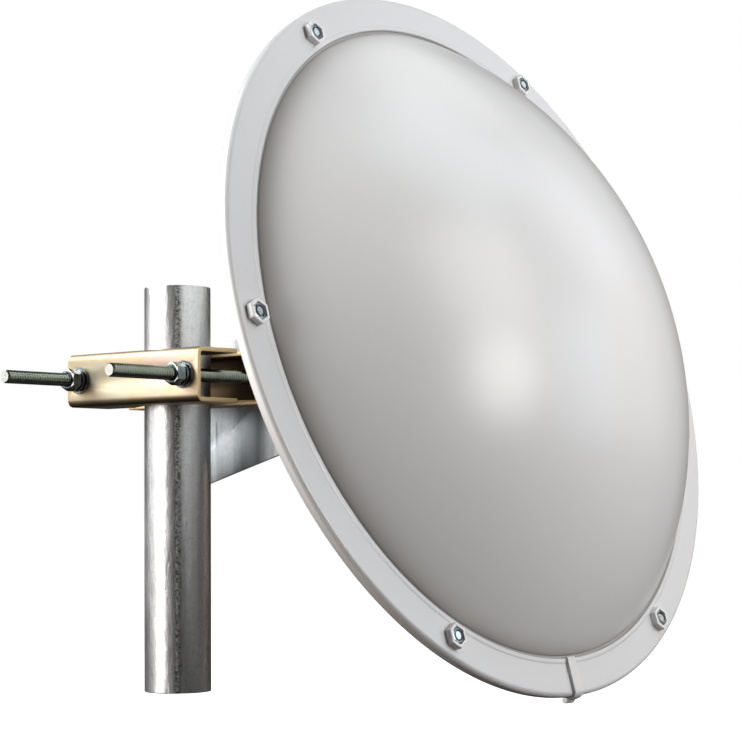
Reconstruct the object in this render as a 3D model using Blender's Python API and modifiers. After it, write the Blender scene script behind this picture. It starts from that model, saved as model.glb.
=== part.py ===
"""A point-to-point parabolic antenna with a domed radome, on a two-rod clamp around a stub of mast.

Metres, +Z up. The origin is on the mast's axis, level with the two clamp rods. The dish faces -Y. Turned
and flat pieces of the dish are modelled about its own axis, +Z forwards, in the frame of the elevation
pivot, which is tipped back by DISH_TILT.
"""

import math

import bmesh
import bpy
from mathutils import Matrix

MM = 0.001
GAP = 0.3 * MM  # between pieces that touch

# Mast and clamp
MAST_RADIUS = 30.15 * MM
MAST_WALL = 3.2 * MM
MAST_TOP = 84 * MM
MAST_BOTTOM = -281 * MM
JAW_LENGTH = 165 * MM
JAW_HEIGHT = 48 * MM
JAW_SHEET = 4 * MM
JAW_BEND = 6.5 * MM
JAW_WEB_X = 58.7 * MM  # outer face of either jaw's web, from the mast's axis
REAR_TIP_X = -8.5 * MM
FRONT_TIP_X = 18.3 * MM
NOTCH_HALF_ANGLE = math.radians(60)
TOOTH_DEPTH = 1.6 * MM
TEETH_A_SIDE = 7
ROD_RADIUS = 6 * MM
ROD_Y = 66 * MM  # rods lie at plus and minus this
ROD_FREE_END = -148 * MM
ROD_FIXED_END = 88 * MM

# Dish, measured from the plane of the rim's face, along the boresight
DISH_TILT = math.radians(16)
DISH_ACROSS = 140 * MM  # dish axis from the mast's axis, along X
RIM_AHEAD = 186 * MM  # rim plane ahead of the elevation pivot
AXIS_BELOW = 17 * MM  # dish axis below the elevation pivot
RIM_RADIUS = 325 * MM
SKIRT_DEPTH = 9.5 * MM
EDGE_ROUND = 4 * MM
LIP_INNER = 293 * MM
LIP_OUTER = 297 * MM
LIP_RISE = 1 * MM
DOME_RADIUS = 289.7 * MM
DOME_RISE = 127.9 * MM
DOME_POWER = 0.876
RADOME_WALL = 3 * MM
REFLECTOR_DEPTH = 125 * MM
REFLECTOR_MOUTH = 295 * MM
REFLECTOR_SHEET = 2.2 * MM
MOUTH_HEIGHT = -5 * MM  # reflector's mouth, from the rim's face
BOLT_CIRCLE = 307 * MM
BOSS_ACROSS_FLATS = 19 * MM
BOSS_RISE = 6.2 * MM
RECESS_RADIUS = 8.3 * MM
RECESS_FLOOR = 1.2 * MM
RIM_HOLE_RADIUS = 4.4 * MM
CLIP_START = 291.8 * MM
CLIP_LEFT = -6.6 * MM
CLIP_WIDTH = 11.5 * MM
CLIP_TOP = 3.1 * MM
CLIP_SIDE = 1.8 * MM  # thickness outside the rim
CLIP_BEAD = 3 * MM
DOME_RINGS = 9
ROUND_STEPS = 60

# Bracket and hub
PLATE_X = JAW_WEB_X + GAP  # inner face of the bracket's side plate
PLATE_SHEET = 4 * MM
PLATE_TOP = 53 * MM
PLATE_FOOT = -67 * MM
PLATE_REAR = -150 * MM
BACK_FACE = 43.7 * MM  # front face of the bracket's back plate, ahead of the pivot
BACK_WIDTH = 162 * MM
SLOT_SWING = math.radians(18.6)
HUB_OUTER = 85 * MM
HUB_BORE = 36 * MM
LIP_DEPTH = 26 * MM  # of the back plate's far edge
M8_RADIUS = 4 * MM
M8_ACROSS_FLATS = 13 * MM
M8_HEAD = 5.3 * MM
HUB_BOLTS = [(sx * 50 * MM, sy * 44 * MM) for sx in (-1, 1) for sy in (-1, 1)]

# Feed
TUBE_RADIUS = 14 * MM
TUBE_WALL = 2.5 * MM
TUBE_TOP = 20 * MM
CONE_RADIUS = 38 * MM
CONE_TOP = 51 * MM


# Colours and surfaces


def material(name, colour, metallic, roughness):
    made = bpy.data.materials.new(name)
    made.use_nodes = True
    shader = made.node_tree.nodes["Principled BSDF"]
    shader.inputs["Base Color"].default_value = (*colour, 1)
    shader.inputs["Metallic"].default_value = metallic
    shader.inputs["Roughness"].default_value = roughness
    made.diffuse_color = (*colour, 1)
    return made


def make_materials():
    return {
        "radome": material("radome_plastic", (0.80, 0.81, 0.82), 0, 0.25),
        "reflector": material("white_powder_coat", (0.82, 0.83, 0.83), 0, 0.4),
        "mast": material("hot_dip_galvanised", (0.55, 0.56, 0.55), 1, 0.45),
        "bracket": material("galvanised_sheet", (0.60, 0.64, 0.66), 1, 0.35),
        "jaw": material("yellow_chromate", (0.72, 0.56, 0.30), 1, 0.35),
        "rod": material("dull_zinc", (0.30, 0.32, 0.27), 1, 0.45),
        "zinc": material("bright_zinc", (0.66, 0.70, 0.72), 1, 0.22),
        "cast": material("cast_aluminium", (0.62, 0.62, 0.60), 1, 0.5),
        "ptfe": material("feed_ptfe", (0.86, 0.85, 0.80), 0, 0.5),
        "rubber": material("gasket_rubber", (0.03, 0.03, 0.03), 0, 0.7),
    }


# Shape tools


def link(name, data, made_of, parent=None):
    obj = bpy.data.objects.new(name, data)
    bpy.context.scene.collection.objects.link(obj)
    if made_of:
        data.materials.append(made_of)
    obj.parent = parent
    return obj


def empty(name, location, rotation=(0, 0, 0), parent=None):
    obj = link(name, None, None, parent)
    obj.location = location
    obj.rotation_euler = rotation
    return obj


def arc(centre, radius, start, end, steps):
    """Points of an arc, in degrees, both ends included."""
    angles = [math.radians(start + (end - start) * i / steps) for i in range(steps + 1)]
    return [(centre[0] + radius * math.cos(a), centre[1] + radius * math.sin(a)) for a in angles]


def circle(centre, radius, steps=24):
    return arc(centre, radius, 0, 360, steps)[:-1]


def hexagon(across_flats):
    return arc((0, 0), across_flats / math.sqrt(3), 0, 300, 5)


def flat_part(name, outlines, thickness, made_of, parent=None):
    """A sheet in the XY plane from z = 0 to its thickness: the first outline, with the others as holes."""
    curve = bpy.data.curves.new(name, "CURVE")
    curve.dimensions = "2D"
    curve.fill_mode = "BOTH"
    curve.extrude = thickness / 2
    for outline in outlines:
        spline = curve.splines.new("POLY")
        spline.points.add(len(outline) - 1)
        for point, (x, y) in zip(spline.points, outline):
            point.co = (x, y, thickness / 2, 1)
        spline.use_cyclic_u = True
    # A 2D curve keeps its points at z = 0, so the mesh is lifted once it exists.
    obj = to_mesh(link(name, curve, made_of, parent))
    lowest = min(vertex.co.z for vertex in obj.data.vertices)
    for vertex in obj.data.vertices:
        vertex.co.z -= lowest
    return obj


def to_mesh(obj):
    bpy.context.view_layer.update()
    graph = bpy.context.evaluated_depsgraph_get()
    mesh = bpy.data.meshes.new_from_object(obj.evaluated_get(graph))
    name, parent, matrix = obj.name, obj.parent, obj.matrix_local.copy()
    bpy.data.objects.remove(obj)
    mesh.name = name
    made = link(name, weld(mesh), None, parent)
    made.matrix_local = matrix
    return made


def turned(name, profile, made_of, parent=None, steps=ROUND_STEPS):
    """A profile of (radius, height) points turned about Z. A profile off the axis closes on itself."""
    mesh = bpy.data.meshes.new(name)
    shape = bmesh.new()
    points = [shape.verts.new((radius, 0, height)) for radius, height in profile]
    pairs = list(zip(points, points[1:]))
    if profile[0][0] > 0:
        pairs.append((points[-1], points[0]))
    for pair in pairs:
        shape.edges.new(pair)
    shape.to_mesh(mesh)
    shape.free()
    obj = link(name, mesh, made_of, parent)
    screw = obj.modifiers.new("turn", "SCREW")
    screw.axis = "Z"
    screw.steps = screw.render_steps = steps
    screw.use_merge_vertices = True
    screw.merge_threshold = 1e-5
    obj = to_mesh(obj)
    obj.data.materials.clear()
    obj.data.materials.append(made_of)
    return obj


def drill(obj, cutters, operation="DIFFERENCE"):
    """Cuts each cutter away, or adds it, and drops it. The cutters share the object's parent."""
    for cutter in cutters:
        cutter.hide_render = True
        cutter.display_type = "WIRE"
        modifier = obj.modifiers.new("cut", "BOOLEAN")
        modifier.operation = operation
        modifier.solver = "EXACT"
        modifier.object = cutter
    bpy.context.view_layer.update()
    graph = bpy.context.evaluated_depsgraph_get()
    mesh = bpy.data.meshes.new_from_object(obj.evaluated_get(graph))
    obj.modifiers.clear()
    obj.data = weld(mesh)
    for cutter in cutters:
        bpy.data.objects.remove(cutter)
    return obj


def weld(mesh):
    shape = bmesh.new()
    shape.from_mesh(mesh)
    bmesh.ops.remove_doubles(shape, verts=shape.verts, dist=2e-6)
    bmesh.ops.recalc_face_normals(shape, faces=shape.faces)
    shape.to_mesh(mesh)
    shape.free()
    return mesh


def peg(name, radius, low, high, parent=None, place=(0, 0), sides=20):
    """A plain round or hexagonal bar along Z."""
    mesh = bpy.data.meshes.new(name)
    shape = bmesh.new()
    bmesh.ops.create_cone(
        shape, cap_ends=True, segments=sides, radius1=radius, radius2=radius, depth=high - low
    )
    # A round cutter is turned a little, so that none of its corners meets an edge of what it cuts.
    turn = 0 if sides == 6 else math.pi / sides / 3
    bmesh.ops.rotate(shape, matrix=Matrix.Rotation(turn, 3, "Z"), verts=shape.verts)
    bmesh.ops.translate(shape, vec=(place[0], place[1], (low + high) / 2), verts=shape.verts)
    shape.to_mesh(mesh)
    shape.free()
    return link(name, mesh, None, parent)


def polar(radius, degrees):
    """A place on a circle about the dish's axis, with 0 at the top and + towards +X."""
    angle = math.radians(degrees)
    return radius * math.sin(angle), radius * math.cos(angle)


# Mast and clamp


def build_mast(materials):
    outer, inner = MAST_RADIUS, MAST_RADIUS - MAST_WALL
    profile = [(outer, MAST_BOTTOM), (outer, MAST_TOP), (inner, MAST_TOP), (inner, MAST_BOTTOM)]
    turned("mast_section", profile, materials["mast"], steps=48)


def channel_outline(tip):
    """Section of a jaw as (x, z) points: a C whose web lies at -JAW_WEB_X and whose flanges end at tip."""
    half = JAW_HEIGHT / 2
    bend, inner = JAW_BEND, JAW_BEND - JAW_SHEET
    corner = -JAW_WEB_X + bend
    lower_out = arc((corner, -half + bend), bend, 270, 180, 4)
    upper_out = arc((corner, half - bend), bend, 180, 90, 4)
    upper_in = arc((corner, half - bend), inner, 90, 180, 3)
    lower_in = arc((corner, -half + bend), inner, 180, 270, 3)
    return (
        [(tip, -half)]
        + lower_out
        + upper_out
        + [(tip, half), (tip, half - JAW_SHEET)]
        + upper_in
        + lower_in
        + [(tip, -half + JAW_SHEET)]
    )


def notch_outline(tip):
    """Outline in XY of what the toothed V cuts from both flanges of a jaw whose web is on the -X side."""
    clear = MAST_RADIUS + GAP
    apex = -clear / math.sin(NOTCH_HALF_ANGLE) - TOOTH_DEPTH
    run = tip - apex
    side = []
    for i in range(TEETH_A_SIDE):
        for part, depth in ((0, 0), (0.5, TOOTH_DEPTH)):
            along = (i + part + 0.5) / (TEETH_A_SIDE + 0.5)
            x = apex + run * along + depth * math.sin(NOTCH_HALF_ANGLE)
            y = run * along * math.tan(NOTCH_HALF_ANGLE) - depth * math.cos(NOTCH_HALF_ANGLE)
            side.append((x, y))
    mouth = (tip + 10 * MM, (run + 10 * MM) * math.tan(NOTCH_HALF_ANGLE))
    lower = [(x, -y) for x, y in side]
    return [(apex, 0)] + lower + [(mouth[0], -mouth[1]), mouth] + side[::-1]


def build_jaw(name, tip, turned_round, materials):
    length = JAW_LENGTH
    obj = flat_part(name, [channel_outline(tip)], length, materials["jaw"])
    for vertex in obj.data.vertices:
        x, z, y = vertex.co
        vertex.co = (x, length / 2 - y, z)
    notch = flat_part(name + "_notch", [notch_outline(tip)], JAW_HEIGHT + 20 * MM, None)
    for vertex in notch.data.vertices:
        vertex.co.z -= JAW_HEIGHT / 2 + 10 * MM
    cutters = [notch]
    for side in (-1, 1):
        hole = peg(name + "_hole", ROD_RADIUS + 0.5 * MM, -JAW_WEB_X - 10 * MM, -JAW_WEB_X + 10 * MM)
        for vertex in hole.data.vertices:
            x, y, z = vertex.co
            vertex.co = (z, side * ROD_Y + y, -x)
        cutters.append(hole)
    drill(obj, cutters)
    if turned_round:
        for vertex in obj.data.vertices:
            vertex.co.x, vertex.co.y = -vertex.co.x, -vertex.co.y
    return obj


def along_x(obj, x, y, direction=1):
    """Turns a piece made along Z to lie along X, from the given place."""
    obj.rotation_euler = (0, math.radians(90 * direction), 0)
    obj.location = (x, y, 0)
    return obj


def washer(name, bore, outer, thickness, made_of, parent=None):
    return flat_part(name, [circle((0, 0), outer), circle((0, 0), bore)], thickness, made_of, parent)


def spring_washer(name, bore, outer, thickness, made_of, parent=None):
    """A split ring, lying flat as it does when tightened."""
    ring = arc((0, 0), outer, 8, 352, 20) + arc((0, 0), bore, 350, 10, 20)
    return flat_part(name, [ring], thickness, made_of, parent)


def nut(name, across_flats, bore, thickness, made_of, parent=None):
    return flat_part(name, [hexagon(across_flats), circle((0, 0), bore)], thickness, made_of, parent)


def build_clamp(materials):
    zinc = materials["zinc"]
    bore = ROD_RADIUS + GAP
    build_jaw("rear_jaw", REAR_TIP_X, False, materials)
    build_jaw("front_jaw", -FRONT_TIP_X, True, materials)
    for index, y in ((1, -ROD_Y), (2, ROD_Y)):
        chamfer = 1 * MM
        length = ROD_FIXED_END - ROD_FREE_END
        profile = [
            (0, 0),
            (ROD_RADIUS - chamfer, 0),
            (ROD_RADIUS, chamfer),
            (ROD_RADIUS, length - chamfer),
            (ROD_RADIUS - chamfer, length),
            (0, length),
        ]
        rod = turned(f"clamp_rod_{index}", profile, materials["rod"], steps=20)
        along_x(rod, ROD_FREE_END, y)
        stack_hardware(-JAW_WEB_X, y, -1, f"clamp_{index}", zinc)
        stack_hardware(PLATE_X + PLATE_SHEET, y, 1, "pivot" if index == 1 else "slot", zinc)
        jam = nut(f"jam_nut_{index}", 18 * MM, bore, 6 * MM, zinc)
        along_x(jam, JAW_WEB_X - JAW_SHEET - GAP, y, -1)


def stack_hardware(face, y, direction, name, zinc):
    """A flat washer, a spring washer and a nut on a rod, out from a face along X."""
    bore = ROD_RADIUS + GAP
    sizes = (("washer", 2.5 * MM), ("spring_washer", 3 * MM), ("nut", 10 * MM))
    x = face
    for kind, thickness in sizes:
        x += direction * GAP
        if kind == "washer":
            piece = washer(f"{name}_washer", bore, 12 * MM, thickness, zinc)
        elif kind == "spring_washer":
            piece = spring_washer(f"{name}_spring_washer", bore, 10.4 * MM, thickness, zinc)
        else:
            piece = nut(f"{name}_nut", 18 * MM, bore, thickness, zinc)
        along_x(piece, x, y, direction)
        x += direction * thickness


# Bracket and hub


def build_bracket(pivot, materials):
    """Side plate with a pivot hole and an arc slot, bent round to a back plate that carries the hub."""
    corner = 12 * MM
    front = BACK_FACE
    outline = (
        [(front, PLATE_FOOT), (front, PLATE_TOP)]
        + arc((PLATE_REAR + corner, PLATE_TOP - corner), corner, 90, 180, 4)
        + arc((PLATE_REAR + corner, PLATE_FOOT + corner), corner, 180, 270, 4)
    )
    reach = 2 * ROD_Y
    half = ROD_RADIUS + 0.5 * MM
    swing = math.degrees(SLOT_SWING)
    end_a = (-reach * math.cos(SLOT_SWING), reach * math.sin(SLOT_SWING))
    end_b = (end_a[0], -end_a[1])
    slot = (
        arc((0, 0), reach + half, 180 - swing, 180 + swing, 10)
        + arc(end_b, half, 180 + swing, 360 + swing, 6)[1:-1]
        + arc((0, 0), reach - half, 180 + swing, 180 - swing, 10)
        + arc(end_a, half, -swing, 180 - swing, 6)[1:-1]
    )
    hole = circle((0, 0), ROD_RADIUS + GAP)
    side = flat_part("main_bracket", [outline, hole, slot], PLATE_SHEET, materials["bracket"], pivot)
    for vertex in side.data.vertices:
        forward, up, depth = vertex.co
        vertex.co = (PLATE_X + depth, up, forward)
    weld(side.data)

    axis_y = -AXIS_BELOW
    left, right = PLATE_X, PLATE_X + BACK_WIDTH
    plate = [(left, PLATE_FOOT), (right, PLATE_FOOT), (right, PLATE_TOP), (left, PLATE_TOP)]
    holes = [circle((DISH_ACROSS + x, axis_y + y), 4.5 * MM, 16) for x, y in HUB_BOLTS]
    holes.append(circle((DISH_ACROSS, axis_y), HUB_BORE + 2 * MM, 32))
    back = flat_part("back_plate", [plate] + holes, PLATE_SHEET, None, pivot)
    lift(back, BACK_FACE - PLATE_SHEET)
    strip = rectangle(PLATE_FOOT, PLATE_TOP, BACK_FACE - LIP_DEPTH, BACK_FACE)
    lip = flat_part("back_lip", [strip], PLATE_SHEET, None, pivot)
    for vertex in lip.data.vertices:
        up, forward, depth = vertex.co
        vertex.co = (right - PLATE_SHEET + depth, up, forward)
    weld(lip.data)
    drill(side, [back, lip], "UNION")
    return side


def rectangle(x0, x1, y0, y1):
    return [(x0, y0), (x1, y0), (x1, y1), (x0, y1)]


def lift(obj, height):
    for vertex in obj.data.vertices:
        vertex.co.z += height


def build_hub(axis, materials):
    """A cast ring behind the reflector's vertex, and the bolts that hold the bracket to it."""
    back = -RIM_AHEAD + BACK_FACE
    front = -REFLECTOR_DEPTH - REFLECTOR_SHEET - 0.8 * MM
    cone_rise = 10 * MM
    profile = [
        (HUB_BORE, back + GAP),
        (HUB_OUTER, back + GAP),
        (HUB_OUTER, front + cone_rise - 1.5 * MM),
        (HUB_OUTER * 0.7, front + 0.45 * cone_rise - 1.5 * MM),
        (HUB_BORE, front),
    ]
    ring = turned("hub_ring", profile, materials["cast"], axis)
    cutters = [peg("hub_hole", 4.3 * MM, back - 10 * MM, back + 13 * MM, axis, place) for place in HUB_BOLTS]
    drill(ring, cutters)
    under = back - PLATE_SHEET
    for index, (x, y) in enumerate(HUB_BOLTS, 1):
        ring_washer = washer(f"hub_washer_{index}", 4.3 * MM, 8 * MM, 1.6 * MM, materials["zinc"], axis)
        ring_washer.location = (x, y, under - GAP - 1.6 * MM)
        head = under - 2 * GAP - 1.6 * MM
        bolt = hex_bolt(f"hub_bolt_{index}", 18 * MM, materials["zinc"], axis)
        bolt.location = (x, y, head)


def hex_bolt(name, length, made_of, parent):
    """An M8 bolt whose head lies below z = 0 and whose shank stands up from it."""
    shank = peg(name, M8_RADIUS, -1 * MM, length, parent, sides=16)
    top = flat_part(name + "_head", [hexagon(M8_ACROSS_FLATS)], M8_HEAD, None, parent)
    lift(top, -M8_HEAD)
    drill(shank, [top], "UNION")
    shank.data.materials.clear()
    shank.data.materials.append(made_of)
    return shank


# Dish


def dome_height(radius, base_radius, rise):
    return rise * (1 - (radius / base_radius) ** 2) ** DOME_POWER


def dome_points(base_radius, rise, foot, rings):
    """(radius, height) points from the apex to the foot, closer together where the dome turns down."""
    radii = [base_radius * math.sin(math.pi / 2 * i / rings) for i in range(rings)]
    return [(r, max(dome_height(r, base_radius, rise), foot)) for r in radii] + [(base_radius, foot)]


def build_radome(axis, materials):
    wall = RADOME_WALL
    face = 0.3 * MM
    outer = dome_points(DOME_RADIUS, DOME_RISE, face, DOME_RINGS)
    flange = [
        (LIP_INNER, face),
        (LIP_INNER + 0.8 * MM, LIP_RISE),
        (LIP_OUTER - 0.8 * MM, LIP_RISE),
        (LIP_OUTER, face),
        (RIM_RADIUS - 6 * MM, 0),
    ]
    edge = arc((RIM_RADIUS - EDGE_ROUND, -EDGE_ROUND), EDGE_ROUND, 75, 0, 4)
    skirt = [
        (RIM_RADIUS, -SKIRT_DEPTH),
        (RIM_RADIUS - 2.5 * MM, -SKIRT_DEPTH),
        (RIM_RADIUS - 2.5 * MM, -wall - 1 * MM),
        (RIM_RADIUS - 3.5 * MM, -wall),
    ]
    inner = dome_points(DOME_RADIUS - wall, DOME_RISE - wall, -wall, DOME_RINGS - 2)[::-1]
    radome = turned("radome", outer + flange + edge + skirt + inner, materials["radome"], axis)
    bosses = []
    recesses = []
    for index in range(6):
        place = polar(BOLT_CIRCLE, 30 + 60 * index)
        boss = peg("boss", BOSS_ACROSS_FLATS / math.sqrt(3), -1.5 * MM, BOSS_RISE, axis, sides=6)
        boss.rotation_euler.z = -math.radians(30 + 60 * index)
        boss.location = (*place, 0)
        bosses.append(boss)
        recesses.append(peg("recess", RECESS_RADIUS, RECESS_FLOOR, 12 * MM, axis, place, 16))
        recesses.append(peg("hole", RIM_HOLE_RADIUS, -10 * MM, 12 * MM, axis, place, 16))
    drill(radome, bosses, "UNION")
    drill(radome, recesses)
    return radome


def build_reflector(axis, materials):
    """A spun paraboloid with a flat flange and a rolled edge."""
    floor = -REFLECTOR_DEPTH
    mouth_height = MOUTH_HEIGHT
    focal = REFLECTOR_MOUTH**2 / (4 * (mouth_height - floor))
    radii = [HUB_BORE + 4 * MM + (REFLECTOR_MOUTH - HUB_BORE - 4 * MM) * i / 8 for i in range(9)]
    inside = [(r, floor + r * r / (4 * focal)) for r in radii]
    sheet = REFLECTOR_SHEET
    edge_radius = RIM_RADIUS - 3.5 * MM
    rim = [
        (REFLECTOR_MOUTH + 2 * MM, mouth_height),
        (edge_radius - 1 * MM, mouth_height),
        (edge_radius, mouth_height - 1 * MM),
        (edge_radius, -SKIRT_DEPTH),
        (edge_radius - sheet, -SKIRT_DEPTH),
        (edge_radius - sheet, mouth_height - sheet),
        (REFLECTOR_MOUTH + 2 * MM, mouth_height - sheet),
    ]
    outside = [(r, floor - sheet + r * r / (4 * focal)) for r in reversed(radii)]
    reflector = turned("reflector", inside + rim + outside, materials["reflector"], axis)
    places = [polar(BOLT_CIRCLE, 30 + 60 * index) for index in range(6)]
    drill(reflector, [peg("hole", RIM_HOLE_RADIUS, -12 * MM, 2 * MM, axis, place, 16) for place in places])
    gasket_inner, gasket_outer = REFLECTOR_MOUTH + 4 * MM, BOLT_CIRCLE - 5.5 * MM
    low, high = mouth_height + GAP, -RADOME_WALL - GAP
    ring = [(gasket_inner, low), (gasket_outer, low), (gasket_outer, high), (gasket_inner, high)]
    turned("rim_gasket", ring, materials["rubber"], axis)


def build_radome_bolts(axis, materials):
    """Six bolts from behind the rim, each with its nut down in a hexagonal boss."""
    under = MOUTH_HEIGHT - REFLECTOR_SHEET
    for index in range(6):
        degrees = -90 + 60 * index
        place = polar(BOLT_CIRCLE, degrees)
        bolt = hex_bolt(f"radome_bolt_{index + 1}", 13.2 * MM, materials["zinc"], axis)
        bolt.location = (*place, under - GAP)
        top = nut(f"radome_nut_{index + 1}", 12.6 * MM, 4.2 * MM, 4.2 * MM, materials["zinc"], axis)
        top.location = (*place, RECESS_FLOOR + GAP)
        top.rotation_euler.z = -math.radians(degrees)


def build_clip(axis, materials):
    """A moulded strap from the lip over the rim near its lowest point, with a bead behind the edge."""
    round_centre = (RIM_RADIUS - EDGE_ROUND, -EDGE_ROUND)
    inner = EDGE_ROUND + 1.5 * GAP
    over_lip = LIP_RISE + 0.5 * MM
    over_flange = inner - EDGE_ROUND
    back = -SKIRT_DEPTH - GAP
    hook = RIM_RADIUS - 6 * MM
    outside = [
        (round_centre[0] + along * (inner + CLIP_SIDE), round_centre[1] + up * (CLIP_TOP + EDGE_ROUND))
        for along, up in arc((0, 0), 1, 0, 90, 6)
    ]
    profile = (
        [(CLIP_START, over_lip), (LIP_OUTER + 1 * MM, over_lip), (LIP_OUTER + 2.7 * MM, over_flange)]
        + arc(round_centre, inner, 90, 0, 5)
        + [(round_centre[0] + inner, back), (hook, back), (hook, back - 2.5 * MM)]
        + arc((RIM_RADIUS + 1.6 * MM, back - 0.4 * MM), CLIP_BEAD, 225, 430, 7)
        + outside
        + [(CLIP_START + 1 * MM, CLIP_TOP), (CLIP_START, CLIP_TOP - 0.5 * MM)]
    )
    clip = flat_part("rim_clip", [profile], CLIP_WIDTH, materials["radome"], axis)
    for vertex in clip.data.vertices:
        radius, height, across = vertex.co
        vertex.co = (across + CLIP_LEFT, -radius, height)
    weld(clip.data)


def build_feed(axis, materials):
    """Rear-fed waveguide: a collar in the hub's bore, a tube, a dielectric cone and a splash plate."""
    back = -RIM_AHEAD + BACK_FACE - PLATE_SHEET
    tube = TUBE_RADIUS
    bore = tube + GAP
    flange = HUB_BORE + 12 * MM
    collar = [
        (bore, back - 14 * MM),
        (30 * MM, back - 14 * MM),
        (30 * MM, back - 7 * MM),
        (flange, back - 7 * MM),
        (flange, back - 0.8 * MM),
        (HUB_BORE - 1 * MM, back - 0.8 * MM),
        (HUB_BORE - 1 * MM, -REFLECTOR_DEPTH - 3 * MM),
        (bore, -REFLECTOR_DEPTH - 3 * MM),
    ]
    turned("feed_collar", collar, materials["cast"], axis, 36)
    top = TUBE_TOP
    inside = tube - TUBE_WALL
    turned(
        "feed_tube",
        [(inside, back - 13.5 * MM), (tube, back - 13.5 * MM), (tube, top), (inside, top)],
        materials["cast"],
        axis,
        24,
    )
    brim = [(CONE_RADIUS, CONE_TOP - 3 * MM), (CONE_RADIUS, CONE_TOP), (0, CONE_TOP)]
    cone = [(0, top + GAP), (tube, top + GAP)] + brim
    turned("feed_cone", cone, materials["ptfe"], axis, 36)
    low = CONE_TOP + GAP
    wide = CONE_RADIUS + 3 * MM
    plate = [(0, low), (wide, low), (wide + 1 * MM, low + 1 * MM), (wide, low + 3 * MM), (0, low + 5 * MM)]
    turned("sub_reflector", plate, materials["cast"], axis, 36)


def main():
    for obj in list(bpy.data.objects):
        bpy.data.objects.remove(obj)
    materials = make_materials()
    build_mast(materials)
    build_clamp(materials)
    pivot = empty("elevation_pivot", (0, -ROD_Y, 0), (math.radians(90) - DISH_TILT, 0, 0))
    axis = empty("dish_axis", (DISH_ACROSS, -AXIS_BELOW, RIM_AHEAD), parent=pivot)
    build_bracket(pivot, materials)
    build_hub(axis, materials)
    build_reflector(axis, materials)
    build_radome(axis, materials)
    build_radome_bolts(axis, materials)
    build_clip(axis, materials)
    build_feed(axis, materials)


main()
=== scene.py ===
"""Looks for the domed point-to-point antenna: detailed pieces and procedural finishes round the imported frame.

Metres, +Z up, in the frame of the CAD model. Pieces of the dish are made about its own axis, +Z forwards,
and turned pieces about Z, and each is carried to its place by a matrix before it becomes an object.
"""

import math

import bmesh
import bpy
from mathutils import Matrix, Vector, noise


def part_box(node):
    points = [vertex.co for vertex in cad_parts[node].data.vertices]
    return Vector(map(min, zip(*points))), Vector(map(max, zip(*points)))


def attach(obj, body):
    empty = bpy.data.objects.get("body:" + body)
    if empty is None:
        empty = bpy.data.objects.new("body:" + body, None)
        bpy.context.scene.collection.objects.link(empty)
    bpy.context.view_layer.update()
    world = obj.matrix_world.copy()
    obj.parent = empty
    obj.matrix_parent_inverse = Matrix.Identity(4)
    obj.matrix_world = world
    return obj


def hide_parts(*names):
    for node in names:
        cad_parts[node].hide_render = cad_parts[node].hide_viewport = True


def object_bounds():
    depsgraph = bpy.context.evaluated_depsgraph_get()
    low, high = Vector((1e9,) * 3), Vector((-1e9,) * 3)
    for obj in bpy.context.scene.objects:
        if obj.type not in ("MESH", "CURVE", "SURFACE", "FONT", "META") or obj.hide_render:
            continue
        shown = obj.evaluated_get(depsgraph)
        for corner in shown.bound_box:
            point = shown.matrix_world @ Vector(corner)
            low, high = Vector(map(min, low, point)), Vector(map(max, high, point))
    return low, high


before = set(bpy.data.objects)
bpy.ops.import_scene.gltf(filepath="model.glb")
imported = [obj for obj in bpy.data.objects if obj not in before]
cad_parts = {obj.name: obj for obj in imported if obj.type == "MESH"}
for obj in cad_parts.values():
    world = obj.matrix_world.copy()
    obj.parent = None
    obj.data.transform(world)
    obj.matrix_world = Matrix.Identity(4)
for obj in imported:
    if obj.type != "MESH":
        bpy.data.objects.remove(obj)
CAD_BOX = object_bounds()
SCENE = bpy.context.scene
MM = 0.001

# Places and sizes of the model, as the CAD has them
MAST_RADIUS = 30.15 * MM
MAST_WALL = 3.2 * MM
MAST_LOW, MAST_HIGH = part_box("mast_section")[0][2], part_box("mast_section")[1][2]
ROD_RADIUS = 6 * MM
ROD_Y = 66 * MM
ROD_PITCH = 2.9 * MM  # coarser than M12's own, as the photo's thread looks
ROD_FREE_END, ROD_FIXED_END = -148 * MM, 88 * MM
JAW_LENGTH = 165 * MM
JAW_HEIGHT = 48 * MM
JAW_SHEET = 4 * MM
JAW_BEND = 6.5 * MM
JAW_WEB_X = 58.7 * MM
REAR_TIP_X = -8.5 * MM
FRONT_TIP_X = 18.3 * MM
NOTCH_HALF_ANGLE = math.radians(60)
TOOTH_DEPTH = 1.6 * MM
TEETH_A_SIDE = 7
GAP = 0.3 * MM
NUT_ACROSS, NUT_HEIGHT, JAM_HEIGHT = 18 * MM, 10 * MM, 6 * MM
NUT_BORE = ROD_RADIUS + 0.05 * MM
WASHER_BORE, WASHER_RADIUS, WASHER_SHEET = ROD_RADIUS + 0.25 * MM, 12 * MM, 2.5 * MM
SPRING_RADIUS, SPRING_WIRE = 10.4 * MM, 3 * MM

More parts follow.
